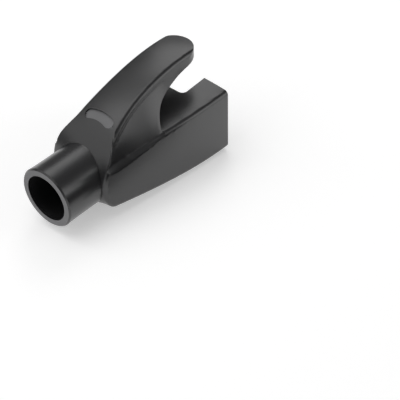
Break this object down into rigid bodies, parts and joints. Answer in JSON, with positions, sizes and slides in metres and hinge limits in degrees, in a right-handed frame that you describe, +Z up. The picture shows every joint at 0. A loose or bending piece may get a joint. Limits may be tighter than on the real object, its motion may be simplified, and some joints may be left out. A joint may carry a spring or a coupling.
{
  "type": "strain relief boot",
  "caption": "Moulded soft boot for a modular plug: round cable collar, tapered crowned sleeve open at the mouth, and a swept guard with scooped flanks over the latch.",
  "frame": {"origin": "centre of the bounding box's underside, in the plane of symmetry", "axes": "+X along the boot from the cable collar to the mouth for the plug, +Y across it, +Z up towards the latch guard"},
  "size_m": [0.0276, 0.0146, 0.0158],
  "materials": {
    "boot": "charcoal soft PVC, moulded semi-gloss"
  },
  "bodies": {
    "root": {"boot": "boot"}
  },
  "joints": []
}
